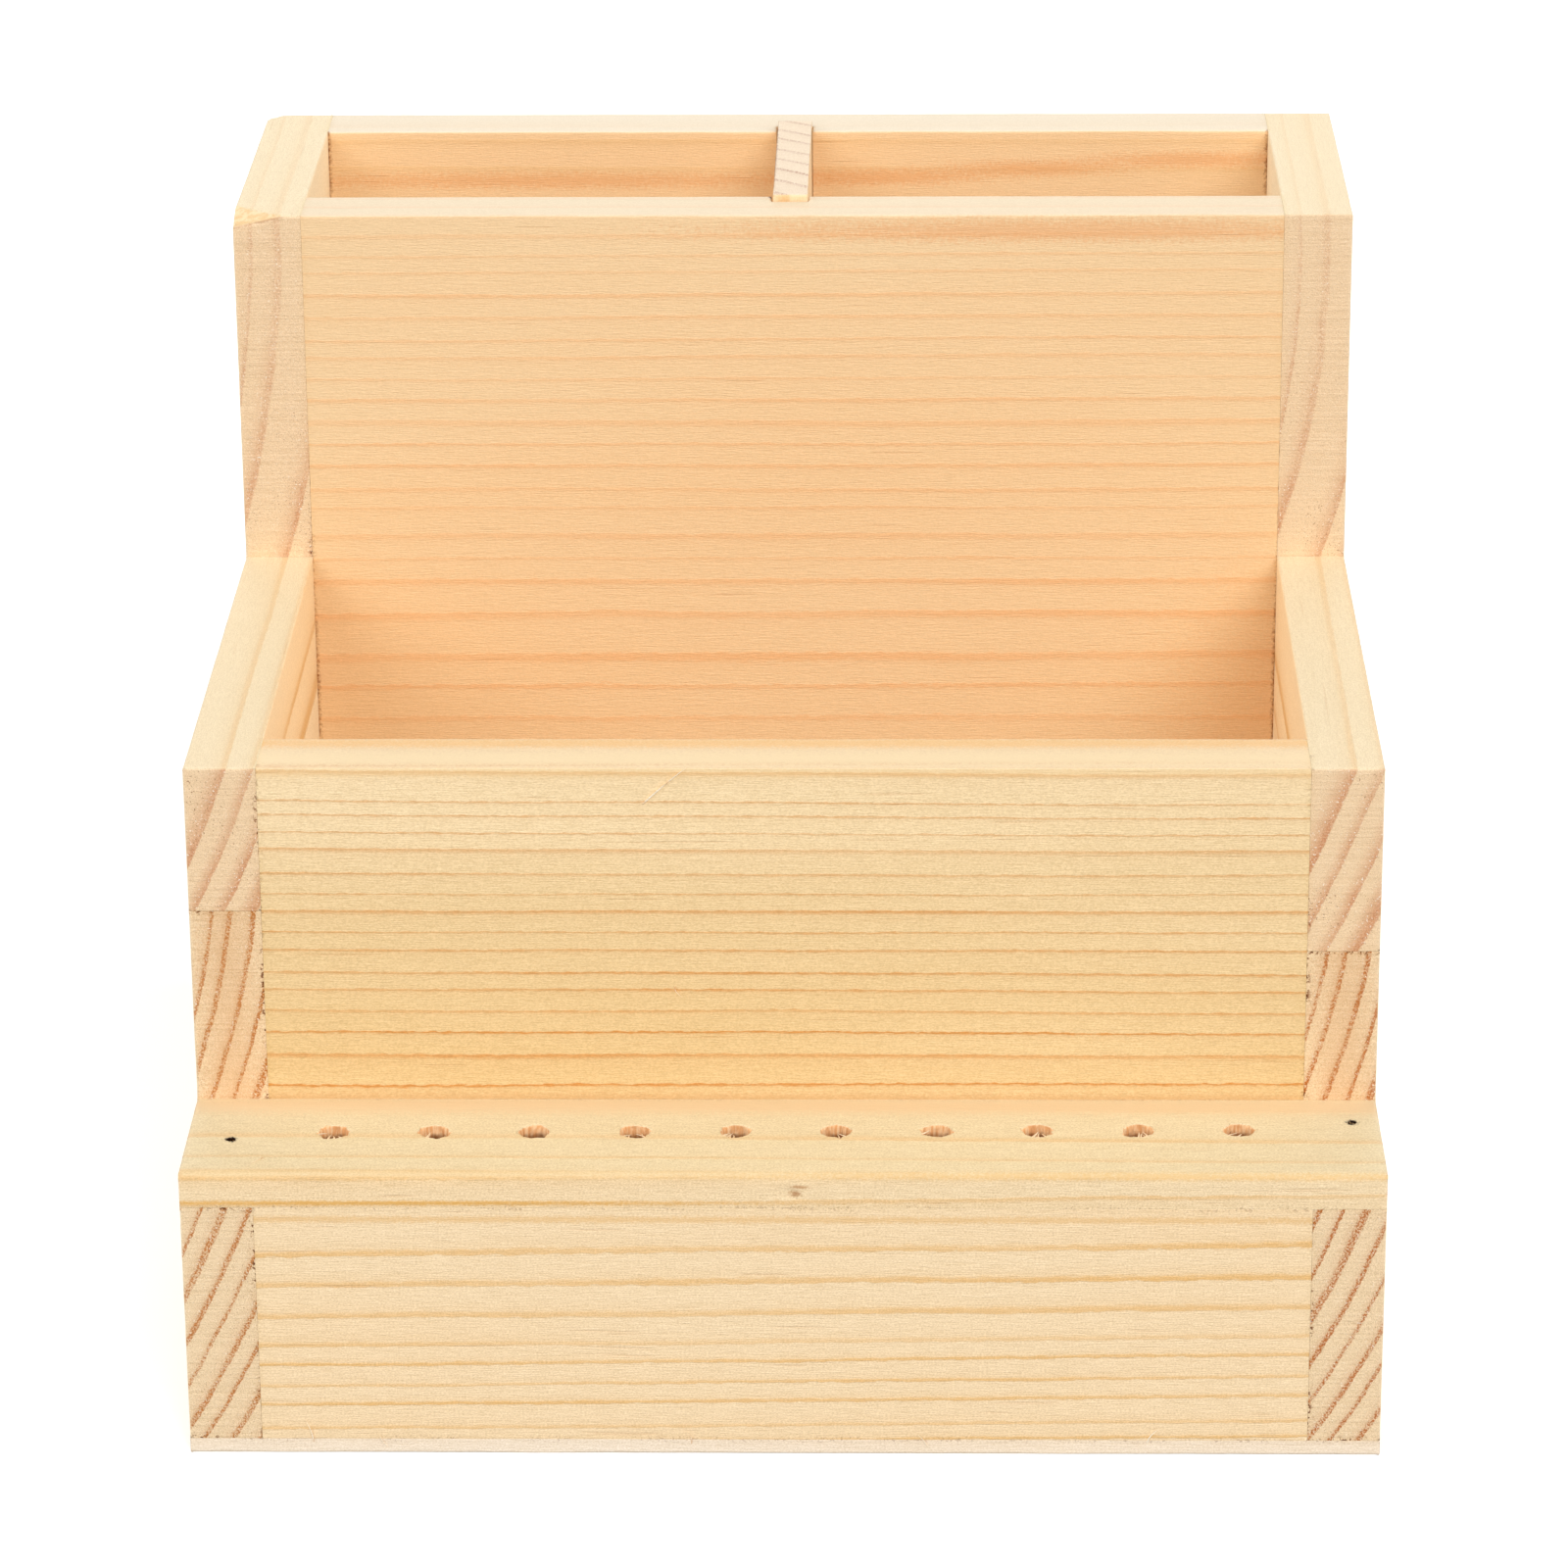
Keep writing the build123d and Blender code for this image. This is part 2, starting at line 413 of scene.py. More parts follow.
# Colours in the pine that are the same on every board
PALE_SPECK = "FCEFDC"
TORN_SPECK = "8A5228"
RESIN = "C98A4E"
WORN_EDGE = "FBEBD0"
DIRT = "5A2606"
DIRT_HALO = "A0602A"
BORE_WALL = "F6CE9E"
BORE_STREAK = "E4A972"
# painted shade deep in the drilled holes
BORE_DEPTH_SHADE = "7C4620"
KNOCKED_FLAT = "F3D8AC"
KNOCKED_PATCH = "EAC692"
KNOCKED_EDGE = "B47A4C"


def srgb(code):
    """A linear colour from a hex code."""
    parts = [int(code[i : i + 2], 16) / 255 for i in (0, 2, 4)]
    return [p / 12.92 if p <= 0.04045 else ((p + 0.055) / 1.055) ** 2.4 for p in parts] + [1.0]


class Tree:
    """Short calls for building one material's node tree. Colours are hex codes."""

    def __init__(self, owner):
        owner.use_nodes = True
        self.nodes = owner.node_tree.nodes
        self.links = owner.node_tree.links
        self.nodes.clear()

    def add(self, kind, inputs=None, **settings):
        node = self.nodes.new("ShaderNode" + kind)
        for key, value in settings.items():
            setattr(node, key, value)
        for key, value in (inputs or {}).items():
            self.set(node.inputs[key], value)
        return node

    def set(self, socket, value):
        if isinstance(value, bpy.types.NodeSocket):
            self.links.new(value, socket)
        else:
            socket.default_value = srgb(value) if isinstance(value, str) else value

    def math(self, operation, *values, clamp=False):
        return self.add("Math", dict(enumerate(values)), operation=operation, use_clamp=clamp).outputs[0]

    def total(self, *values):
        return reduce(lambda so_far, value: self.math("ADD", so_far, value), values)

    def product(self, *values):
        return reduce(lambda so_far, value: self.math("MULTIPLY", so_far, value), values)

    def step(self, value, low, high):
        """0 below low, 1 above high and smooth between."""
        inputs = {"Value": value, "From Min": low, "From Max": high}
        return self.add("MapRange", inputs, interpolation_type="SMOOTHSTEP").outputs[0]

    def spread(self, value, low, high):
        """Takes 0 to 1 onto low to high."""
        return self.math("MULTIPLY_ADD", value, high - low, low)

    def centred(self, noise, reach):
        """Noise about 0.5 turned into a swing of about reach either side of 0."""
        return self.math("MULTIPLY_ADD", noise, 2 * reach, -reach)

    def point(self, x, y, z):
        return self.add("CombineXYZ", {"X": x, "Y": y, "Z": z}).outputs[0]

    def vector(self, operation, *values):
        node = self.add("VectorMath", dict(enumerate(values)), operation=operation)
        return node.outputs["Value" if operation in ("DOT_PRODUCT", "LENGTH") else "Vector"]

    def in_mm(self, place):
        return self.add("VectorMath", {0: place, "Scale": 1 / MM}, operation="SCALE").outputs[0]

    def noise(self, place, size, detail=2.0, roughness=0.5, shift=0.0):
        """Noise about 0.5 whose features are about size across."""
        moved = self.vector("ADD", place, (shift, 1.7 * shift, 0.6 * shift))
        inputs = {"Vector": moved, "Scale": 1 / size, "Detail": detail, "Roughness": roughness}
        return self.add("TexNoise", inputs).outputs["Fac"]

    def attribute(self, name):
        return self.add("Attribute", attribute_name=name).outputs["Fac"]

    def mix(self, amount, first, second, blend="MIX"):
        """Goes from the first colour to the second."""
        inputs = {0: amount, 6: first, 7: second}  # 6 and 7 are the node's two colour sockets
        return self.add("Mix", inputs, data_type="RGBA", blend_type=blend).outputs[2]

    def surface(self, look):
        """Ends the tree with a shader that has this look."""
        shader = self.add("BsdfPrincipled", look)
        self.add("OutputMaterial", {0: shader.outputs[0]})


@dataclass
class Stock:
    """How a board lay in its tree, and how strongly that shows. Lengths are millimetres."""

    grain: str  # the axis that the grain runs along
    pith: tuple  # where the tree's heart lay, on the two other axes
    spacing: float  # between the year rings
    phase: float = 0.0  # shifts the rings outwards, in years
    tilt: tuple = (0.0, 0.0)  # how the rings drift across the two other axes, per length of grain
    unevenness: float = 0.5  # how much the years' widths differ
    pale: str = "F5DAB1"  # early wood
    warm: str = "F3CD9A"  # the same where it is warmer
    late: str = "DCA34C"  # late wood
    # faces that look up take this washed-out colour, painted light standing in for the stronger light on the
    # tops
    lit_top: str = "EAD6B6"  # faces that look up
    dense: float = 0.74  # the share of a year's growth before its dense end
    core: float = 0.58  # how strong the dense end is
    broad: float = 0.12  # how strong the slow darkening before it is
    sinking: tuple = (0.0, 0.0, -1.0)  # how much warmer it gets going down, and the heights between
    end: tuple = ("EED1A8", "BE783A", 1.2, 0.34)  # pale, late, core and broad on end grain
    coarseness: float = 1.0  # how strong the fine texture is
    marks: tuple = ()  # small blemishes and painted shade: place, reach on each axis, colour and strength
    knock: tuple = ()  # the plane of a knocked-off corner: a point on it and its normal


class Pine(Tree):
    """One board's pine as a solid texture: year rings about the pith, fibres and resin canals."""

    def __init__(self, material, node, stock):
        super().__init__(material)
        self.stock = stock
        self.seed = seed_of(node) % 1000
        coordinates = self.add("TexCoord").outputs
        self.place = self.in_mm(coordinates["Object"])
        self.axes = self.add("SeparateXYZ", {0: self.place}).outputs
        self.across = [self.axes[axis] for axis in "XYZ" if axis != stock.grain]
        facing = self.add("SeparateXYZ", {0: coordinates["Normal"]}).outputs
        self.top = self.step(facing["Z"], 0.35, 0.75)
        self.end = self.step(self.math("ABSOLUTE", facing[stock.grain]), 0.55, 0.9)
        self.sinking, *heights = stock.sinking
        self.sunk = self.step(self.axes["Z"], *heights)
        self.fibres = self.along_grain(FIBRES)
        self.fluff = self.along_grain(FLUFF)
        self.cells = self.along_grain(CELLS)
        self.canals = self.step(self.along_grain(CANALS), 0.71, 0.79)
        self.saw = self.saw_marks()
        self.broad, self.core = self.year_rings()
        self.seam = self.attribute("seam")
        self.bore = self.attribute("bore")
        self.crevice = self.math("POWER", self.seam, 0.4)

    def along_grain(self, settings):
        """Noise whose features are drawn out along the grain."""
        stretch, size, detail, roughness, shift = settings
        squeezed = self.point(self.math("DIVIDE", self.axes[self.stock.grain], stretch), *self.across)
        return self.noise(squeezed, size, detail, roughness, self.seed + shift)

    def everywhere(self, settings):
        """Noise that is alike in every direction."""
        *look, shift = settings
        return self.noise(self.place, *look, self.seed + shift)

    def saw_marks(self):
        """The marks that the saw left across end grain, close to level."""
        level = self.point(self.math("DIVIDE", self.axes["X"], 30.0), self.axes["Y"], self.axes["Z"])
        return self.noise(level, 0.50, 2.0, 0.6, self.seed + 4)

    def from_pith(self):
        """How far out from the pith the wood grew."""
        stock = self.stock
        offsets = [
            self.math("MULTIPLY_ADD", self.axes[stock.grain], tilt, self.math("SUBTRACT", place, pith))
            for place, tilt, pith in zip(self.across, stock.tilt, stock.pith)
        ]
        straight = self.math("SQRT", self.total(*(self.product(offset, offset) for offset in offsets)))
        sway = self.centred(self.along_grain(SWAY), 1.5)
        ripple = self.centred(self.along_grain(RIPPLE), 0.30)
        fray = self.centred(self.along_grain(FRAY), 0.30)
        return self.total(straight, sway, ripple, fray)

    def year_rings(self):
        """The slow darkening of each year's wood, and the dense end after it."""
        stock = self.stock
        radius = self.from_pith()
        place = self.math("DIVIDE", radius, 2.3 * stock.spacing)
        inputs = {"W": place, "Scale": 1.0, "Detail": 1.0}
        widths = self.add("TexNoise", inputs, noise_dimensions="1D").outputs["Fac"]
        uneven = self.math("MULTIPLY_ADD", widths, 2 * stock.unevenness, stock.phase - stock.unevenness)
        year = self.total(self.math("DIVIDE", radius, stock.spacing), uneven)
        inputs = {"W": self.math("FLOOR", year)}
        draw = self.add("TexWhiteNoise", inputs, noise_dimensions="1D").outputs["Value"]
        fading = self.step(self.along_grain(FADING), 0.3, 0.7)
        vigour = self.product(
            self.spread(draw, 0.6, 1.0),
            self.spread(fading, 0.72, 1.1),
            self.spread(self.sunk, 1 - self.sinking / 2, 1 + self.sinking),
        )
        part = self.math("FRACT", year)
        broad = self.math("SUBTRACT", self.step(part, 0.35, 0.92), self.step(part, 0.955, 1.0))
        rise = self.step(part, stock.dense, stock.dense + 0.15)
        core = self.math("SUBTRACT", rise, self.step(part, 0.945, 1.0))
        return self.product(vigour, broad), self.product(vigour, core)

    def long_grain(self):
        """The faces along the grain, with painted light on the faces that look up: a washed-out colour and
        fainter rings.
        """
        stock = self.stock
        patches = self.spread(self.step(self.along_grain(PATCHES), 0.3, 0.7), 0.0, 0.35)
        warmth = self.math("ADD", patches, self.product(self.sunk, 1.9 * self.sinking), clamp=True)
        pale = self.mix(warmth, stock.pale, stock.warm)
        # Painted light: faces that look up get a washed-out colour and fainter ring lines.
        pale = self.mix(self.top, pale, stock.lit_top)
        lines = self.total(self.product(self.core, stock.core), self.product(self.broad, stock.broad))
        lines = self.product(lines, self.spread(self.top, 1.0, 0.6))
        lines = self.math("MULTIPLY", lines, self.spread(self.fluff, 0.75, 1.25), clamp=True)
        return self.mix(lines, pale, stock.late)

    def end_grain(self):
        """The sawn ends: dotted rings, pale cells, and torn specks low down."""
        pale, late, core, broad = self.stock.end
        dots = self.spread(self.step(self.cells, 0.40, 0.58), 1.35, 0.15)
        thin = self.product(self.core, dots, self.spread(self.sunk, core, 0.5 * core))
        soft = self.product(self.broad, self.spread(self.sunk, broad, 4.0 * broad))
        colour = self.mix(self.math("ADD", thin, soft, clamp=True), pale, late)
        specks = self.step(self.along_grain(SPECKS), 0.64, 0.74)
        specks = self.math("MULTIPLY", specks, self.math("MULTIPLY_ADD", self.broad, 0.8, 0.25), clamp=True)
        colour = self.mix(specks, colour, PALE_SPECK)
        torn = self.product(
            self.step(self.everywhere(TORN), 0.66, 0.73),
            self.step(self.everywhere(TORN_CLUSTERS), 0.45, 0.6),
            self.step(self.axes["Z"], BIN_TOP, TROUGH_TOP),
        )
        return self.mix(self.product(torn, 0.7), colour, TORN_SPECK)

    def lightness(self):
        """The uneven lightness of cut fibres, redder where it is darker."""
        coarse = self.stock.coarseness
        grit = self.step(self.along_grain(GRIT), 0.34, 0.66)
        light = self.total(
            self.centred(self.fibres, 0.15 * coarse),
            self.centred(self.fluff, 0.10 * coarse),
            self.product(self.centred(self.cells, 0.10), self.end),
            self.product(self.centred(grit, 0.10 * coarse), self.spread(self.end, 1.0, 1.2)),
            self.product(self.end, self.centred(self.saw, 0.14 * coarse)),
            1.0,
        )
        channels = {0: self.math("POWER", light, 0.8), 1: light, 2: self.math("POWER", light, 1.4)}
        return self.add("CombineColor", channels).outputs[0]

    def dirtied(self, colour):
        """Dots of dirt along the joint lines, below the bins."""
        grime = self.product(
            self.step(self.everywhere(GRIME), 0.55, 0.61),
            self.step(self.everywhere(GRIME_CLUSTERS), 0.48, 0.58),
            self.spread(self.end, 0.25, 1.0),
            self.step(self.axes["Z"], TROUGH_TOP + 14.0, TROUGH_TOP),
        )
        colour = self.mix(self.product(self.crevice, grime, 0.7), colour, DIRT_HALO)
        return self.mix(self.product(self.seam, grime), colour, DIRT)

    def knocked(self, colour, point, normal):
        """Yellows the flat where a corner was knocked off, and browns the edge below it."""
        above = self.vector("DOT_PRODUCT", self.vector("SUBTRACT", self.place, point), normal)
        ragged = self.total(above, self.centred(self.noise(self.place, 0.9, 2.0, 0.6), 0.35))
        edge = self.product(self.step(ragged, -0.5, -0.1), self.spread(self.top, 0.6, 0.0))
        colour = self.mix(edge, colour, KNOCKED_EDGE)
        patches = self.step(self.noise(self.place, 1.3, 2.0, 0.6), 0.4, 0.6)
        flat = self.mix(patches, KNOCKED_FLAT, KNOCKED_PATCH)
        return self.mix(self.step(above, -0.10, -0.03), colour, flat)

    def bored(self, colour):
        """Tints drilled walls in streaks that run down the hole, and paints shade that deepens below the
        mouth.
        """
        down = self.point(self.axes["X"], self.axes["Y"], self.math("DIVIDE", self.axes["Z"], 7.0))
        streaks = self.step(self.noise(down, 0.55, 2.0, 0.6, 21), 0.38, 0.62)
        walls = self.mix(streaks, BORE_STREAK, BORE_WALL)
        # Painted shade: the walls darken down the hole, below the mouth.
        below = self.math("SUBTRACT", RAIL_TOP, self.axes["Z"])
        uneven = self.total(below, self.centred(self.noise(self.place, 1.1, 2.0, shift=33), 0.9))
        walls = self.mix(self.product(self.step(uneven, 1.1, 2.5), 0.85), walls, BORE_DEPTH_SHADE)
        return self.mix(self.bore, colour, walls)

    def stained_and_shaded(self, colour, centre, reach, tint, strength):
        """Tints a small ragged spot, which some marks use for a stain and others for painted shade."""
        scaled = self.vector("DIVIDE", self.vector("SUBTRACT", self.place, centre), reach)
        away = self.vector("LENGTH", scaled)
        ragged = self.total(away, self.centred(self.noise(self.place, 0.5, 2.0, 0.6, centre[2]), 0.8))
        return self.mix(self.product(self.step(ragged, 1.25, 0.15), strength), colour, tint)

    def colour(self):
        """The two kinds of grain, and then everything that marks them."""
        colour = self.mix(self.end, self.long_grain(), self.end_grain())
        colour = self.mix(self.product(self.canals, 0.14), colour, RESIN)
        colour = self.mix(1.0, colour, self.lightness(), "MULTIPLY")
        colour = self.dirtied(colour)
        colour = self.mix(self.product(self.attribute("wear"), 0.08), colour, WORN_EDGE)
        if self.stock.knock:
            colour = self.knocked(colour, *self.stock.knock)
        colour = self.bored(colour)
        for mark in self.stock.marks:
            colour = self.stained_and_shaded(colour, *mark)
        return colour

    def relief(self):
        """A bump from the fibres, the rings and the saw's marks."""
        height = self.total(
            self.product(self.fibres, 0.11),
            self.product(self.fluff, 0.09),
            self.product(self.cells, self.spread(self.end, 0.03, 0.12)),
            self.product(self.core, 0.04),
            self.product(self.saw, self.end, 0.16),
            self.product(self.canals, -0.05),
        )
        return self.add("Bump", {"Height": height, "Distance": MM, "Strength": 0.8}).outputs[0]

    def roughness(self):
        """Duller on ends and between fibres, smoother on the dense rings."""
        parts = self.product(self.fibres, 0.16), self.product(self.core, -0.08), self.product(self.end, 0.10)
        return self.total(*parts, 0.52)


def pine_material(node, stock):
    """Pine, without gloss in joint lines and drilled holes."""
    material = bpy.data.materials.new(f"{node}_pine")
    pine = Pine(material, node, stock)
    dull = pine.math("MAXIMUM", pine.crevice, pine.bore)
    pine.surface(
        {
            "Base Color": pine.colour(),
            "Roughness": pine.roughness(),
            "Normal": pine.relief(),
            "IOR": 1.45,
            "Specular IOR Level": pine.spread(dull, 0.5, 0.0),
        }
    )
    return material


def steel_material(name):
    """Bright drawn wire, a little tarnished."""
    material = bpy.data.materials.new(name)
    t = Tree(material)
    place = t.in_mm(t.add("TexCoord").outputs["Object"])
    tarnish = t.step(t.noise(place, 0.7, 3.0, 0.6), 0.4, 0.7)
    scratches = t.noise(place, 0.08, 2.0, 0.5, 11)
    bump = t.add("Bump", {"Height": scratches, "Distance": 0.03 * MM, "Strength": 0.5})
    t.surface(
        {
            "Base Color": t.mix(tarnish, "B9B6B0", "7F766B"),
            "Roughness": t.total(t.product(tarnish, 0.22), t.product(scratches, 0.15), 0.20),
            "Normal": bump.outputs[0],
            "Metallic": 1.0,
        }
    )
    return material


# ---------------- the boards' stock

ALL_ALONG = 400.0  # a mark's reach where it doesn't end on the board

# The caddy's planes
OUTSIDE = corners("bottom_board")[0, 0] / MM
RIGHT_INNER = corners("front_apron")[1, 0] / MM
SIDE_MIDDLE = (RIGHT_INNER - OUTSIDE) / 2
DIVIDER_LEFT = corners("bin_divider")[0, 0] / MM
FRONT, TROUGH_WALL_FRONT = corners("tool_rail")[:, 1] / MM
BIN_WALL_FRONT, BIN_WALL_BACK = corners("bin_front_wall_upper_board")[:, 1] / MM
REAR_WALL_FRONT, BACK = corners("rear_wall_upper_board")[:, 1] / MM
APRON_TOP, RAIL_TOP = corners("tool_rail")[:, 2] / MM
TROUGH_TOP = corners("trough_front_wall")[1, 2] / MM
BIN_TOP = corners("bin_front_wall_upper_board")[1, 2] / MM


def plane_through(first, second, third):
    """The plane through three points, as a point on it and its upward normal."""
    first, second, third = (Vector(p) for p in (first, second, third))
    normal = (second - first).cross(third - first).normalized()
    return tuple(first), tuple(normal if normal.z > 0 else -normal)


# The flats that were left where the left side's two corners were knocked off
FRONT_FLAT = plane_through(
    (OUTSIDE + KNOCK[0], BIN_WALL_FRONT, BIN_TOP),
    (OUTSIDE, BIN_WALL_FRONT, BIN_TOP - KNOCK[2]),
    (OUTSIDE, BIN_WALL_FRONT + KNOCK[1], BIN_TOP),
)
REAR_FLAT = plane_through(
    (OUTSIDE + REAR_KNOCK, BACK, BIN_TOP),
    (OUTSIDE, BACK, BIN_TOP - 4 * REAR_KNOCK),
    (OUTSIDE, BACK - REAR_KNOCK, BIN_TOP),
)


def band(y, z, deep, high, tint, strength):
    """A mark so long that it is an even band right across."""
    return (0.0, y, z), (ALL_ALONG, deep, high), tint, strength


def mirrored(mark):
    """A mark's mirror image on the left, and the mark itself."""
    (x, y, z), *look = mark
    return ((-x, y, z), *look), mark


# Marks that don't follow from the year rings, some of them painted shade: middle, reach on each axis, colour
# and strength
DENT_MARKS = (
    ((2.2, FRONT, APRON_TOP + 2.6), (1.3, 1.0, 0.7), "A8703A", 0.8),
    ((3.0, FRONT, APRON_TOP + 3.9), (2.0, 1.0, 0.35), "B98452", 0.8),
)
APRON_STREAK = band(FRONT, APRON_TOP - 2.1, 1.0, 0.8, "E0AC5C", 0.45)
RAIL_FOOT_LINE = ((-72.0, FRONT, APRON_TOP + 0.9), (75.0, 1.0, 0.5), "DDA548", 0.7)
RAIL_EDGE_LINE = ((62.0, FRONT + 0.4, RAIL_TOP - 0.6), (85.0, 1.0, 0.7), "DDA548", 0.6)
RAIL_REAR_BAND = band(TROUGH_WALL_FRONT - 3.0, RAIL_TOP, 4.2, 1.0, "E6CAA0", 0.9)
# The eased edge's band is partly the ochre line along it and partly painted shade that dulls the edge's
# highlight.
RAIL_EASED_EDGE = band(FRONT + 0.3, RAIL_TOP - 0.3, 1.3, 1.3, "DCC090", 0.45)
# Painted shade in the pits over the rail's brads, dark down to their heads
PIT_SHADE = tuple(
    ((float(x) / MM, float(y) / MM, RAIL_TOP - 0.4), (1.1, 1.1, 1.6), "1E0E05", 2.0)
    for x, y, _ in head_centres("rail_brads", 2, 1)
)
TROUGH_WALL_BANDS = (
    # painted shadow along the wall's foot, just above the rail
    band(TROUGH_WALL_FRONT, RAIL_TOP + 0.1, 1.0, 1.3, "C99258", 0.38),
    band(TROUGH_WALL_FRONT, TROUGH_TOP - 0.6, 0.8, 1.3, "F0CC94", 0.5),
    band(TROUGH_WALL_FRONT + 11.8, TROUGH_TOP, 2.9, 1.5, "F0B766", 0.5),
    band(TROUGH_WALL_FRONT + 4.4, TROUGH_TOP, 4.6, 0.8, "F3DCB2", 0.85),
)
MID_TIER_TAN = mirrored(((SIDE_MIDDLE, TROUGH_WALL_FRONT, 68.0), (6.3, 2.0, ALL_ALONG), "CF8F50", 0.30))
CORNER = RIGHT_INNER + 0.6
TROUGH_MARKS = (
    # painted shade: a warm orange patch on the bin wall in the trough's right corner
    ((RIGHT_INNER, BIN_WALL_FRONT, TROUGH_TOP - 44.0), (26.0, 2.0, 42.0), "F0A052", 0.2),
    *mirrored(((CORNER, BIN_WALL_FRONT, TROUGH_TOP - 28.0), (1.1, 1.0, 32.0), "8A4A1C", 1.0)),
)
BIN_CORNERS = mirrored(((CORNER, REAR_WALL_FRONT, BIN_TOP - 6.5), (1.1, 1.0, 16.0), "8A4A1C", 1.0))
BIN_WALL_BAND = ((48.0, BIN_WALL_FRONT, BIN_TOP - 2.9), (70.0, 1.0, 2.6), "E59E60", 0.50)
REAR_WALL_BAND = tuple(
    ((x, REAR_WALL_FRONT, BIN_TOP - below), (reach, 1.0, 1.9), "E59A55", 0.5)
    for x, below, reach in ((-47.0, 9.5, 62.0), (18.0, 8.9, 22.0), (44.0, 7.3, 20.0), (74.0, 5.7, 24.0))
)
# Painted shade in the gap beside the divider, at the left groove's top corner
GROOVE_CORNER = (
    (DIVIDER_LEFT - GROOVE_LEFT_GAP, BIN_WALL_BACK - 0.5, BIN_TOP), (0.7, 0.9, 1.0), "6A2A16", 0.85
)
# Painted shade: a dark line along the divider's left top edge, over the bin
DIVIDER_EDGE = (
    (DIVIDER_LEFT, (BIN_WALL_BACK + REAR_WALL_FRONT) / 2, BIN_TOP + 0.6), (0.35, 24.0, 1.2), "7E4022", 0.7
)

SIDE = {"pale": "FAE6C0", "warm": "F9DDB0", "lit_top": "ECD8B3", "core": 0.36, "broad": 0.18}
LOWER_SIDE = SIDE | {"dense": 0.70, "marks": MID_TIER_TAN}
UPPER_SIDE = SIDE | {
    "end": ("EDCEA6", "CB8C60", 0.36, 0.14), "coarseness": 0.75, "sinking": (0.5, BIN_TOP, 80.0),
}
INNER = {"pale": "EFD0A3", "warm": "F1C793", "late": "EEB074", "core": 0.42, "coarseness": 0.4}

STOCK = {
    "bottom_board": Stock("X", (60.0, -45.0), 3.4, core=0.3, broad=0.2, pale="F6E6D0", warm="F6DDBB"),
    "left_side_lower_board": Stock("Y", (-247.0, 103.0), 3.7, **LOWER_SIDE),
    "left_side_upper_board": Stock("Y", (-269.0, 172.0), 5.6, knock=FRONT_FLAT, **UPPER_SIDE),
    "right_side_lower_board": Stock(
        "Y", (-59.0, 103.0), 3.7, end=("EED1A8", "B86C30", 1.2, 0.34), **LOWER_SIDE
    ),
    "right_side_upper_board": Stock("Y", (-81.0, 172.0), 5.6, **UPPER_SIDE),
    "front_apron": Stock(
        "X", (-75.0, 51.0), 3.2, phase=0.35, tilt=(0.0, -0.008), core=0.54, broad=0.16, coarseness=1.1,
        pale="F3D8AF", late="E0A850", marks=(APRON_STREAK,),
    ),
    "tool_rail": Stock(
        "X", (-66.0, 8.0), 4.1, tilt=(0.012, 0.004), core=0.55, broad=0.15, coarseness=1.25,
        pale="F0D6AC", lit_top="E3D1AA",
        marks=(*DENT_MARKS, RAIL_FOOT_LINE, RAIL_EDGE_LINE, RAIL_REAR_BAND, RAIL_EASED_EDGE, *PIT_SHADE),
    ),
    "trough_front_wall": Stock(
        "X", (-32.5, 20.0), 3.05, phase=0.5, dense=0.80, core=0.80, coarseness=0.85,
        pale="F4DAAE", warm="E3C28B", late="D3934C", lit_top="EDD3AD",
        sinking=(0.45, TROUGH_TOP, 50.0), marks=TROUGH_WALL_BANDS,
    ),
    "bin_front_wall_lower_board": Stock("X", (120.0, 20.0), 3.6, marks=TROUGH_MARKS, **INNER),
    "bin_front_wall_upper_board": Stock(
        "X", (128.0, 41.5), 3.0, sinking=(0.35, BIN_TOP, 64.0),
        marks=(GROOVE_CORNER, BIN_WALL_BAND, *TROUGH_MARKS), **INNER,
    ),
    "rear_wall_lower_board": Stock("X", (30.0, 40.0), 3.8, **INNER),
    "rear_wall_upper_board": Stock(
        "X", (150.0, 60.0), 5.2, core=0.12, coarseness=0.4, pale="F2CC9B", warm="F3C691", lit_top="EADAC0",
        marks=(*REAR_WALL_BAND, *BIN_CORNERS),
    ),
    "bin_divider": Stock(
        "Z", (-130.0, -110.0), 5.6, unevenness=0.25, coarseness=0.6,
        end=("F0DBC0", "BE8C6C", 0.7, 0.12), marks=(DIVIDER_EDGE,),
    ),
}
FIBRE_STOCK = Stock("X", (-66.0, 8.0), 4.1, pale="FFF3DC", warm="FFEFD2")

# Loose hairs of wood: start, end, thickness and bow
HAIR_FOOT = FRONT + 0.05
HAIRS = (
    ((-86.4, FRONT + 6.3, RAIL_TOP + 0.05), (-89.3, FRONT + 1.5, RAIL_TOP + 0.3), 0.26, (0.3, 0.0, 0.2)),
    ((-23.4, TROUGH_WALL_FRONT, 105.6), (-16.0, TROUGH_WALL_FRONT - 0.2, 112.2), 0.45, (0.0, -0.3, 0.3)),
    ((-18.5, TROUGH_WALL_FRONT, 72.6), (-17.2, TROUGH_WALL_FRONT - 0.4, 70.8), 0.30, (-0.3, -0.2, 0.0)),
    ((-79.2, HAIR_FOOT, 2.0), (-80.4, FRONT - 0.5, 6.4), 0.34, (0.3, -0.2, 0.0)),
    ((-66.8, HAIR_FOOT, 1.2), (-68.0, FRONT - 0.4, 3.6), 0.26, (-0.2, -0.1, 0.0)),
    ((-15.6, HAIR_FOOT, 1.9), (-16.6, FRONT - 0.4, 4.4), 0.28, (0.5, -0.1, 0.0)),
    ((24.0, HAIR_FOOT, 1.4), (22.6, FRONT - 0.4, 3.8), 0.24, (0.2, -0.1, 0.0)),
    ((61.0, HAIR_FOOT, 2.2), (62.8, FRONT - 0.5, 5.0), 0.30, (-0.4, -0.1, 0.0)),
)


# ---------------- the boards' shapes


def box_mm(low, high):
    return np.round(np.array([low, high]) * MM, 7)


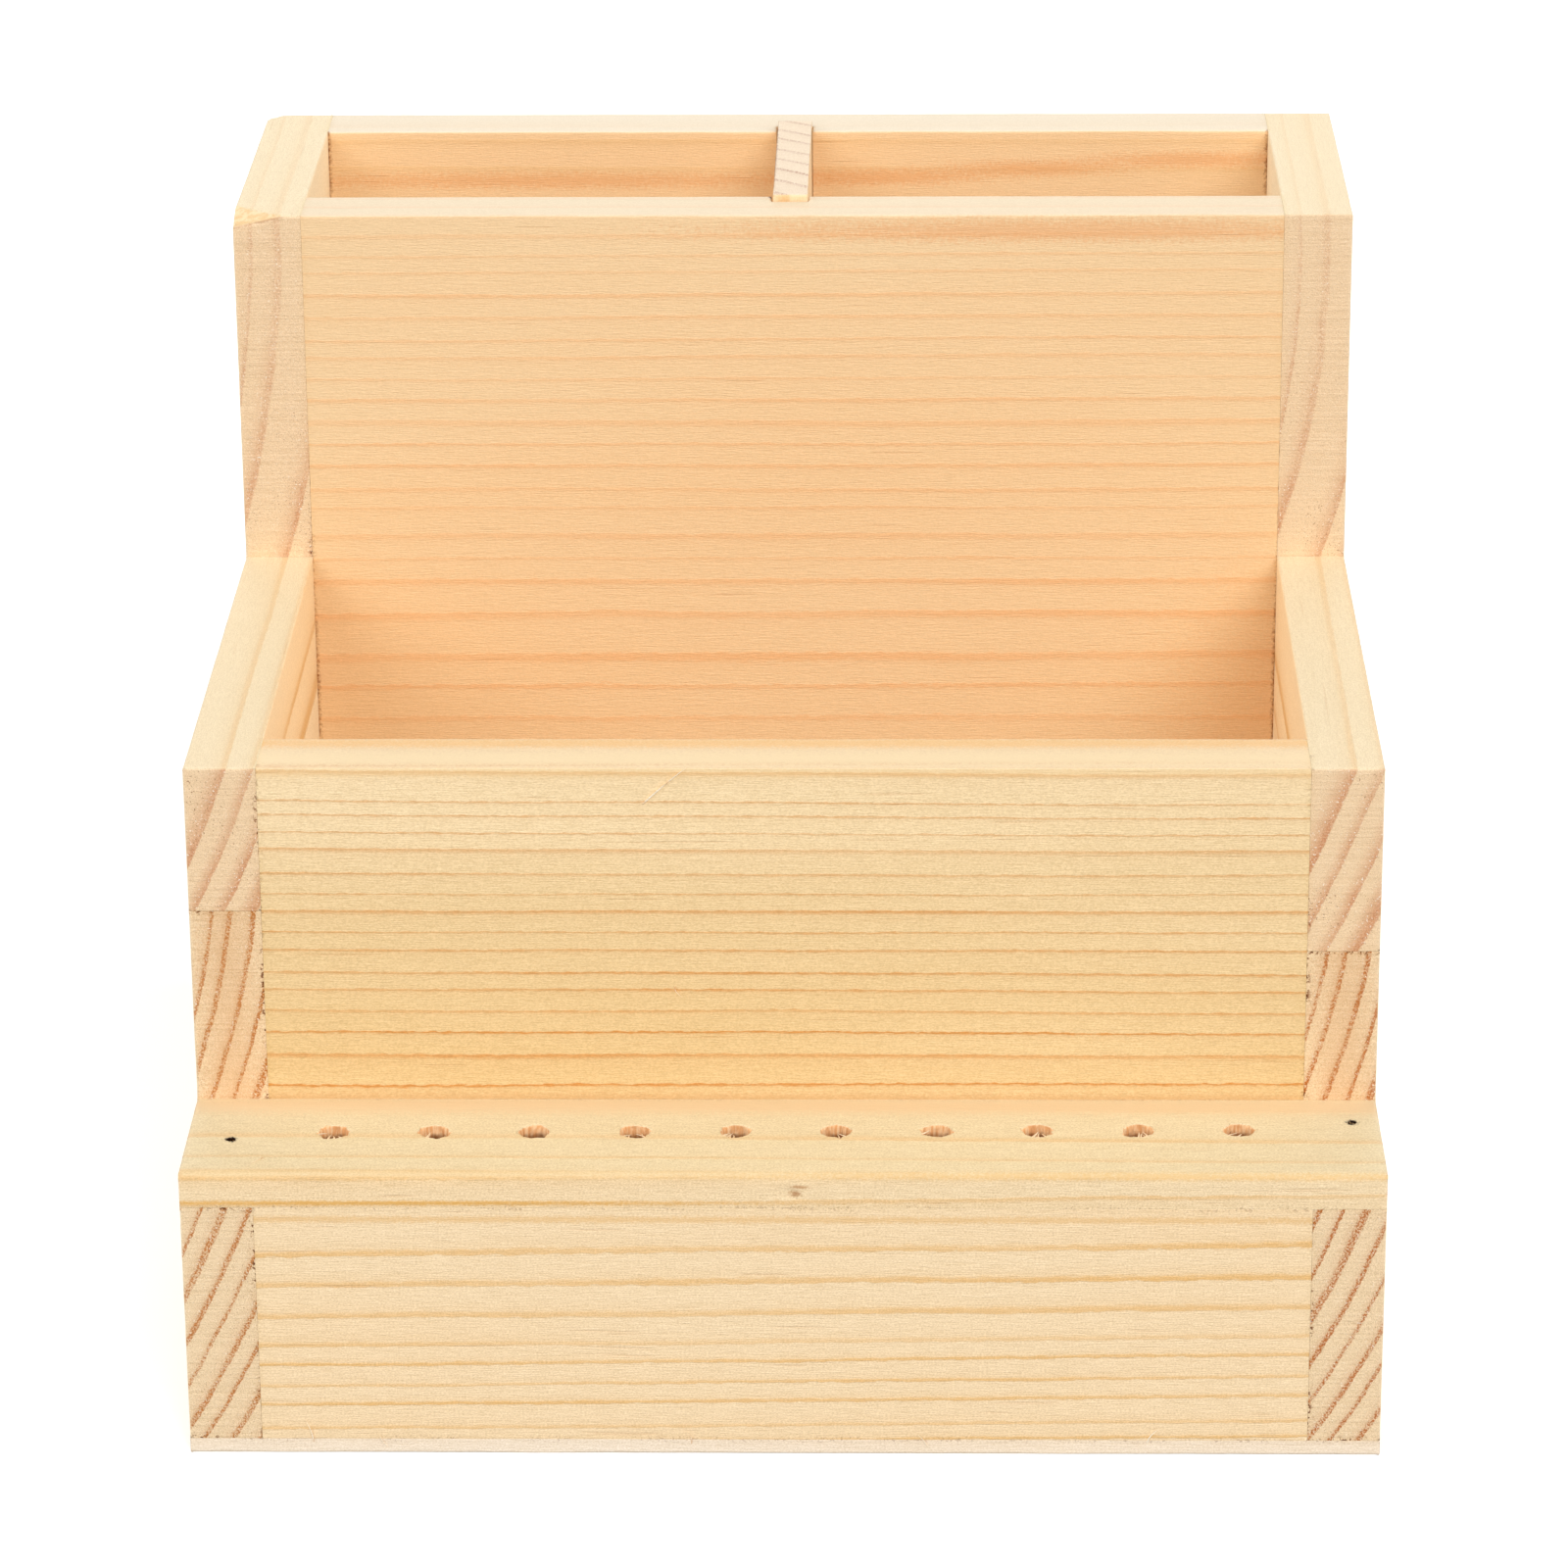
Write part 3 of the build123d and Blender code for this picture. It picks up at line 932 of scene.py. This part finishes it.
def side_solids(name):
    """The boxes that make up one stepped side's lower and upper board."""
    (x0, _, foot), (x1, _, seam) = corners(f"{name}_side_lower_board") / MM
    steps = {
        "lower": ((FRONT, foot, APRON_TOP), (TROUGH_WALL_FRONT, foot, seam)),
        "upper": ((TROUGH_WALL_FRONT, seam, TROUGH_TOP), (BIN_WALL_FRONT, seam, BIN_TOP)),
    }
    return {
        f"{name}_side_{tier}_board": [box_mm((x0, y, low), (x1, BACK, high)) for y, low, high in boxes]
        for tier, boxes in steps.items()
    }


def groove_box():
    """One box that cuts both of the slots that the divider slides in."""
    low, high = corners("bin_divider") / MM
    x0, x1 = low[0] - GROOVE_LEFT_GAP, high[0] + GROOVE_RIGHT_GAP
    y0, y1 = low[1] - GROOVE_END_GAP, high[1] + GROOVE_END_GAP
    return box_mm((x0, y0, low[2]), (x1, y1, high[2]))


def all_solids():
    """The boxes that every board is made of."""
    found = {node: [corners(node)] for node in STOCK if "side" not in node}
    for _, name in HANDS:
        found |= side_solids(name)
    return found


def round_edges():
    """Each board's edges with a radius of their own, by the two axes and sides that meet there."""
    front_top = (1, -1, 2, 1)
    found = {
        "tool_rail": {front_top: RAIL_FRONT_RADIUS},
        "trough_front_wall": {front_top: TROUGH_RIM_RADIUS},
        "bin_divider": {(0, hand, 2, 1): DIVIDER_TOP_RADIUS for hand in (-1, 1)},
    }
    for wall, side in (("bin_front_wall", 1), ("rear_wall", -1)):
        for tier in ("lower", "upper"):
            found[f"{wall}_{tier}_board"] = {(0, hand, 1, side): GROOVE_EDGE_RADIUS for hand in (-1, 1)}
    return found


def brad_heads():
    """The heads that may lie in each board, with the axis and the side that they are driven from."""
    found = {"bottom_board": (head_centres("bottom_brads", 2, -1), 2, -1)}
    for hand, name in HANDS:
        heads = head_centres(f"{name}_side_brads", 0, hand)
        for tier in ("lower", "upper"):
            found[f"{name}_side_{tier}_board"] = (heads, 0, hand)
    return found


def tube(name, rings, downwards):
    """A closed mesh through rings of points that each turn anticlockwise, seen from above."""
    count = len(rings[0])
    quads = []
    for i in range(len(rings) - 1):
        for j in range(count):
            here, beside = i * count + j, i * count + (j + 1) % count
            quads.append((here, beside, beside + count, here + count))
    ends = [tuple(range(count))[::-1], tuple(range((len(rings) - 1) * count, len(rings) * count))]
    if downwards:
        quads = [(a, d, c, b) for a, b, c, d in quads]
        ends = [end[::-1] for end in ends]
    mesh = bpy.data.meshes.new(name)
    mesh.from_pydata(np.concatenate(rings).tolist(), [], quads + ends)
    return mesh


def drill(mouth, radius, depth, seed):
    """A drill's path down through soft wood: fluted walls, and the fibres torn around the mouth."""
    rng = np.random.default_rng(seed)
    turns = np.linspace(0, 2 * np.pi, 96, endpoint=False)
    steps = np.arange(len(turns))
    out_of_round = sum(rng.uniform(0.01, 0.03) * np.cos(k * turns + rng.uniform(0, 6.28)) for k in (2, 3))
    flutes = wander(steps, 3.1, seed)
    tears = np.clip(wander(steps, 6.3, seed + 1) - 0.1, 0, 1)
    tears = tears + 0.25 * np.clip(wander(steps, 2.1, seed + 2), 0, 1)
    below = np.linspace(BELOW_MOUTH, depth, 6) if depth > BELOW_MOUTH else [depth]
    levels = np.concatenate([[-ABOVE_MOUTH], MOUTH_LEVELS * min(depth, MOUTH_DEPTH), below])
    scale = min(1, radius / 2)  # a narrow hole is rough in proportion
    rings = []
    for i, level in enumerate(levels):
        fading = math.exp(-max(level, 0) / TEAR_FADE)
        rough = FLUTE_DEPTH * (flutes + 0.5 * wander(steps + 31 * i, 2.6, seed + 3)) * (1 - 0.7 * fading)
        torn = TEAR_DEPTH * tears * fading + BREAK_DEPTH * math.exp(-max(level, 0) / BREAK_FADE)
        reach = radius * (1 + out_of_round) + scale * (rough + torn)
        ring = np.stack([reach * np.cos(turns), reach * np.sin(turns), np.full_like(turns, -level)], axis=1)
        rings.append(ring * MM + mouth)
    return tube("drill", rings, downwards=True)


def splinter(start, end, width, bow):
    """A tapered sliver of wood between two points, bowed sideways by bow."""
    start, end, bow = np.array(start), np.array(end), np.array(bow)
    along = (end - start) / np.linalg.norm(end - start)
    across = np.cross(along, (0.3, 0.5, 0.8))
    across /= np.linalg.norm(across)
    over = np.cross(along, across)
    turns = np.linspace(0, 2 * np.pi, 5, endpoint=False)
    rings = []
    for part in np.linspace(0, 1, 7):
        centre = start + (end - start) * part + bow * 4 * part * (1 - part)
        reach = width / 2 * (1 - 0.85 * part**1.5)
        ring = [centre + reach * (math.cos(a) * across + 0.5 * math.sin(a) * over) for a in turns]
        rings.append(np.array(ring) * MM)
    return tube("splinter", rings, downwards=False)


def hole_fibres(centre, count, seed):
    """The fibres that the drill left standing across one hole's mouth."""
    rng = np.random.default_rng(seed)
    slivers = []
    for _ in range(count):
        turn = rng.uniform(3.5, 5.5)  # on the side to the front, in radians
        reach = np.array([math.cos(turn), math.sin(turn), 0])
        side = np.array([-reach[1], reach[0], 0])
        start = centre + FIBRE_ROOT * reach + (0, 0, -0.05)
        tip = rng.uniform(0.8, 1.7) * reach + rng.uniform(-0.6, 0.6) * side
        end = centre + tip + (0, 0, rng.uniform(-0.3, 0.2))
        slivers.append(splinter(start, end, rng.uniform(0.34, 0.58), rng.uniform(-0.12, 0.12) * side))
    return slivers


def shave(mesh, plane):
    """Planes a mesh down to a plane."""
    point, normal = (np.array(v) for v in plane)
    points = read_points(mesh)
    above = (points - point * MM) @ normal
    points -= np.outer(np.maximum(above, 0), normal)
    write_points(mesh, points)


def press_dent(mesh):
    """Pushes the small dent into the rail's front."""
    points = read_points(mesh)
    away = (points / MM - (DENT[0], FRONT, APRON_TOP + DENT[1])) / DENT_REACH
    points[:, 1] += DENT_DEPTH * MM * np.exp(-np.sum(away**2, axis=1))
    write_points(mesh, points)


def mark_bores(mesh, top, centres):
    """Marks the walls of drilled holes, from just below the mouth down."""
    points = read_points(mesh)
    away = np.min([np.hypot(*(points[:, :2] - centre[:2]).T) for centre in centres], axis=0)
    depth = (top - points[:, 2]) / MM
    bore = smoothstep(0.02, 0.25, depth) * (away < BORE_REACH * MM)
    write_values(mesh, "bore", bore)


def drop_slivers(mesh):
    """Takes out faces too thin to cut cleanly."""
    whole = bmesh.new()
    whole.from_mesh(mesh)
    bmesh.ops.dissolve_degenerate(whole, dist=SLIVER * MM, edges=whole.edges)
    whole.to_mesh(mesh)
    whole.free()


def join_meshes(name, meshes):
    whole = bmesh.new()
    for mesh in meshes:
        whole.from_mesh(mesh)
    joined = bpy.data.meshes.new(name)
    whole.to_mesh(joined)
    whole.free()
    return joined


def in_scene(name, data):
    added = bpy.data.objects.new(name, data)
    bpy.context.scene.collection.objects.link(added)
    return added


def cut_from(target, cutters):
    """Takes the cutters' shapes out of target's mesh."""
    drop_slivers(target.data)
    tool = in_scene("cutters", join_meshes("cutters", cutters))
    modifier = target.modifiers.new("cut", "BOOLEAN")
    modifier.operation, modifier.solver, modifier.object = "DIFFERENCE", "EXACT", tool
    view = bpy.context.evaluated_depsgraph_get()
    view.update()
    mesh = bpy.data.meshes.new_from_object(target.evaluated_get(view))
    target.modifiers.clear()
    target.data = mesh
    bpy.data.objects.remove(tool)


# ---------------- the pieces


def place_board(node, solids, heads, edges):
    """Makes one board, and puts it in the scene in the place of its CAD node."""
    others = [boxes for other, boxes in solids.items() if other not in (node, "bin_divider")]
    neighbours = [box for boxes in others for box in boxes]
    centres, axis, side = heads.get(node, ((), 0, 1))
    low, high = extent(solids[node])
    centres = [c for c in centres if np.all((c > low - MM) & (c < high + MM))]
    cuts = [groove_box()] if node.startswith(("bin_front_wall", "rear_wall")) else []
    pitch = PITCHES.get(node, PITCH)
    mesh = board_mesh(node, solids[node], cuts, neighbours, pitch, edges.get(node, {}), centres)
    press_dimples(mesh, centres, axis, side)
    mesh.materials.append(pine_material(node, STOCK[node]))
    piece = in_scene(f"{node}_wood", mesh)
    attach(piece, "divider" if node == "bin_divider" else "caddy")
    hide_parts(node)
    return piece


def drill_rail(rail, holes, pits, top):
    """Drills the tool holes and the pits over the rail's own brads."""
    drills = [
        drill((x, y, top), radius / MM * HOLE_SHARE, RAIL_TOP - APRON_TOP + DRILL_PAST, 100 + i)
        for i, ((x, y, _), radius) in enumerate(holes)
    ]
    drills += [drill((x, y, top), PIT_RADIUS, PIT_DEPTH, 200 + i) for i, (x, y, _) in enumerate(pits)]
    cut_from(rail, drills)
    mark_bores(rail.data, top, [np.array(middle) for middle, _ in holes] + pits)
    rail.data.set_sharp_from_angle(angle=math.radians(SHARP_ANGLE))


def place_fibres(holes, top):
    """Adds the fibres left in the holes, and the loose hairs."""
    slivers = []
    for i, (middle, _) in enumerate(holes):
        centre = np.array([middle[0] / MM, middle[1] / MM, top / MM])
        slivers += hole_fibres(centre, TORN_FIBRES[i], 300 + i)
    slivers += [splinter(*hair) for hair in HAIRS]
    fibres = in_scene("loose_fibres", join_meshes("loose_fibres", slivers))
    fibres.data.materials.append(pine_material("tool_rail_fibre", FIBRE_STOCK))
    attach(fibres, "caddy")


def finish_brads():
    """Gives the CAD's own brads their steel."""
    steel = steel_material("brad_wire")
    for node in ("rail_brads", "left_side_brads", "right_side_brads", "bottom_brads"):
        slots = frame["nodes"][node].data.materials
        for i in range(len(slots)):
            slots[i] = steel


def build_caddy():
    """Makes every piece."""
    solids, heads, edges = all_solids(), brad_heads(), round_edges()
    pieces = {node: place_board(node, solids, heads, edges) for node in STOCK}
    for plane in (FRONT_FLAT, REAR_FLAT):
        shave(pieces["left_side_upper_board"].data, plane)
    rail = pieces["tool_rail"]
    press_dent(rail.data)
    bores = [mount for mount in frame["record"]["mounts"] if mount["name"].startswith("tool_hole_")]
    holes = [(Vector(bore["pos_m"]), bore["dims"]["r_mm"] * MM) for bore in bores]
    top = corners("tool_rail")[1, 2]
    drill_rail(rail, holes, head_centres("rail_brads", 2, 1), top)
    place_fibres(holes, top)
    finish_brads()


# ---------------- studio


def towards(azimuth, elevation):
    """A direction as seen from the caddy. Azimuth 0 is straight in front and 90 on the right."""
    turn, rise = math.radians(azimuth), math.radians(elevation)
    return Vector((math.sin(turn) * math.cos(rise), -math.cos(turn) * math.cos(rise), math.sin(rise)))


def make_camera():
    pitch, yaw, roll = CAMERA_TURN
    forward = -towards(-yaw, pitch)
    yaw, roll = math.radians(yaw), math.radians(roll)
    level = Vector((math.cos(yaw), -math.sin(yaw), 0))
    upright = level.cross(forward)
    right = level * math.cos(roll) + upright * math.sin(roll)
    up = upright * math.cos(roll) - level * math.sin(roll)
    camera = in_scene("camera", bpy.data.cameras.new("camera"))
    camera.data.lens = LENS
    camera.data.sensor_width = SENSOR_WIDTH
    camera.data.clip_end = CLIP_END
    turn = Matrix((right, up, -forward)).transposed().to_4x4()
    camera.matrix_world = Matrix.Translation(Vector(CAMERA_PLACE) * MM) @ turn
    bpy.context.scene.camera = camera


def make_floor():
    """Pale paper, a little mottled."""
    mesh = bpy.data.meshes.new("floor")
    corner_points = [(x * FLOOR_HALF, y * FLOOR_HALF, 0) for x, y in ((-1, -1), (1, -1), (1, 1), (-1, 1))]
    mesh.from_pydata(corner_points, [], [(0, 1, 2, 3)])
    floor = in_scene("floor", mesh)
    material = bpy.data.materials.new("floor_paper")
    t = Tree(material)
    mottle = t.noise(t.add("TexCoord").outputs["Object"], 0.4, 3.0)
    t.surface(
        {
            "Base Color": t.mix(mottle, "F7F6F4", "FAF9F8"),
            "Roughness": 0.9,
            "Specular IOR Level": 0.1,
            "Emission Color": (1, 1, 1, 1),
            "Emission Strength": FLOOR_GLOW,
        }
    )
    mesh.materials.append(material)
    floor.visible_diffuse = False  # so that it doesn't light the caddy from below


def add_light(name, azimuth, elevation, strength):
    """A broad soft light a long way off."""
    data = bpy.data.lights.new(name, "SUN")
    data.energy = strength * math.pi
    data.angle = math.radians(LIGHT_SPREAD)
    light = in_scene(name, data)
    light.rotation_mode = "QUATERNION"
    light.rotation_quaternion = towards(azimuth, elevation).to_track_quat("Z", "Y")


def make_world():
    """An even white surround."""
    world = bpy.data.worlds.new("studio")
    bpy.context.scene.world = world
    t = Tree(world)
    background = t.add("Background", {"Color": (1, 1, 1, 1), "Strength": SURROUND})
    t.add("OutputWorld", {0: background.outputs[0]})


build_caddy()
make_camera()
make_floor()
make_world()
for light in LIGHTS:
    add_light(*light)
bpy.context.scene.view_settings.view_transform = "Standard"
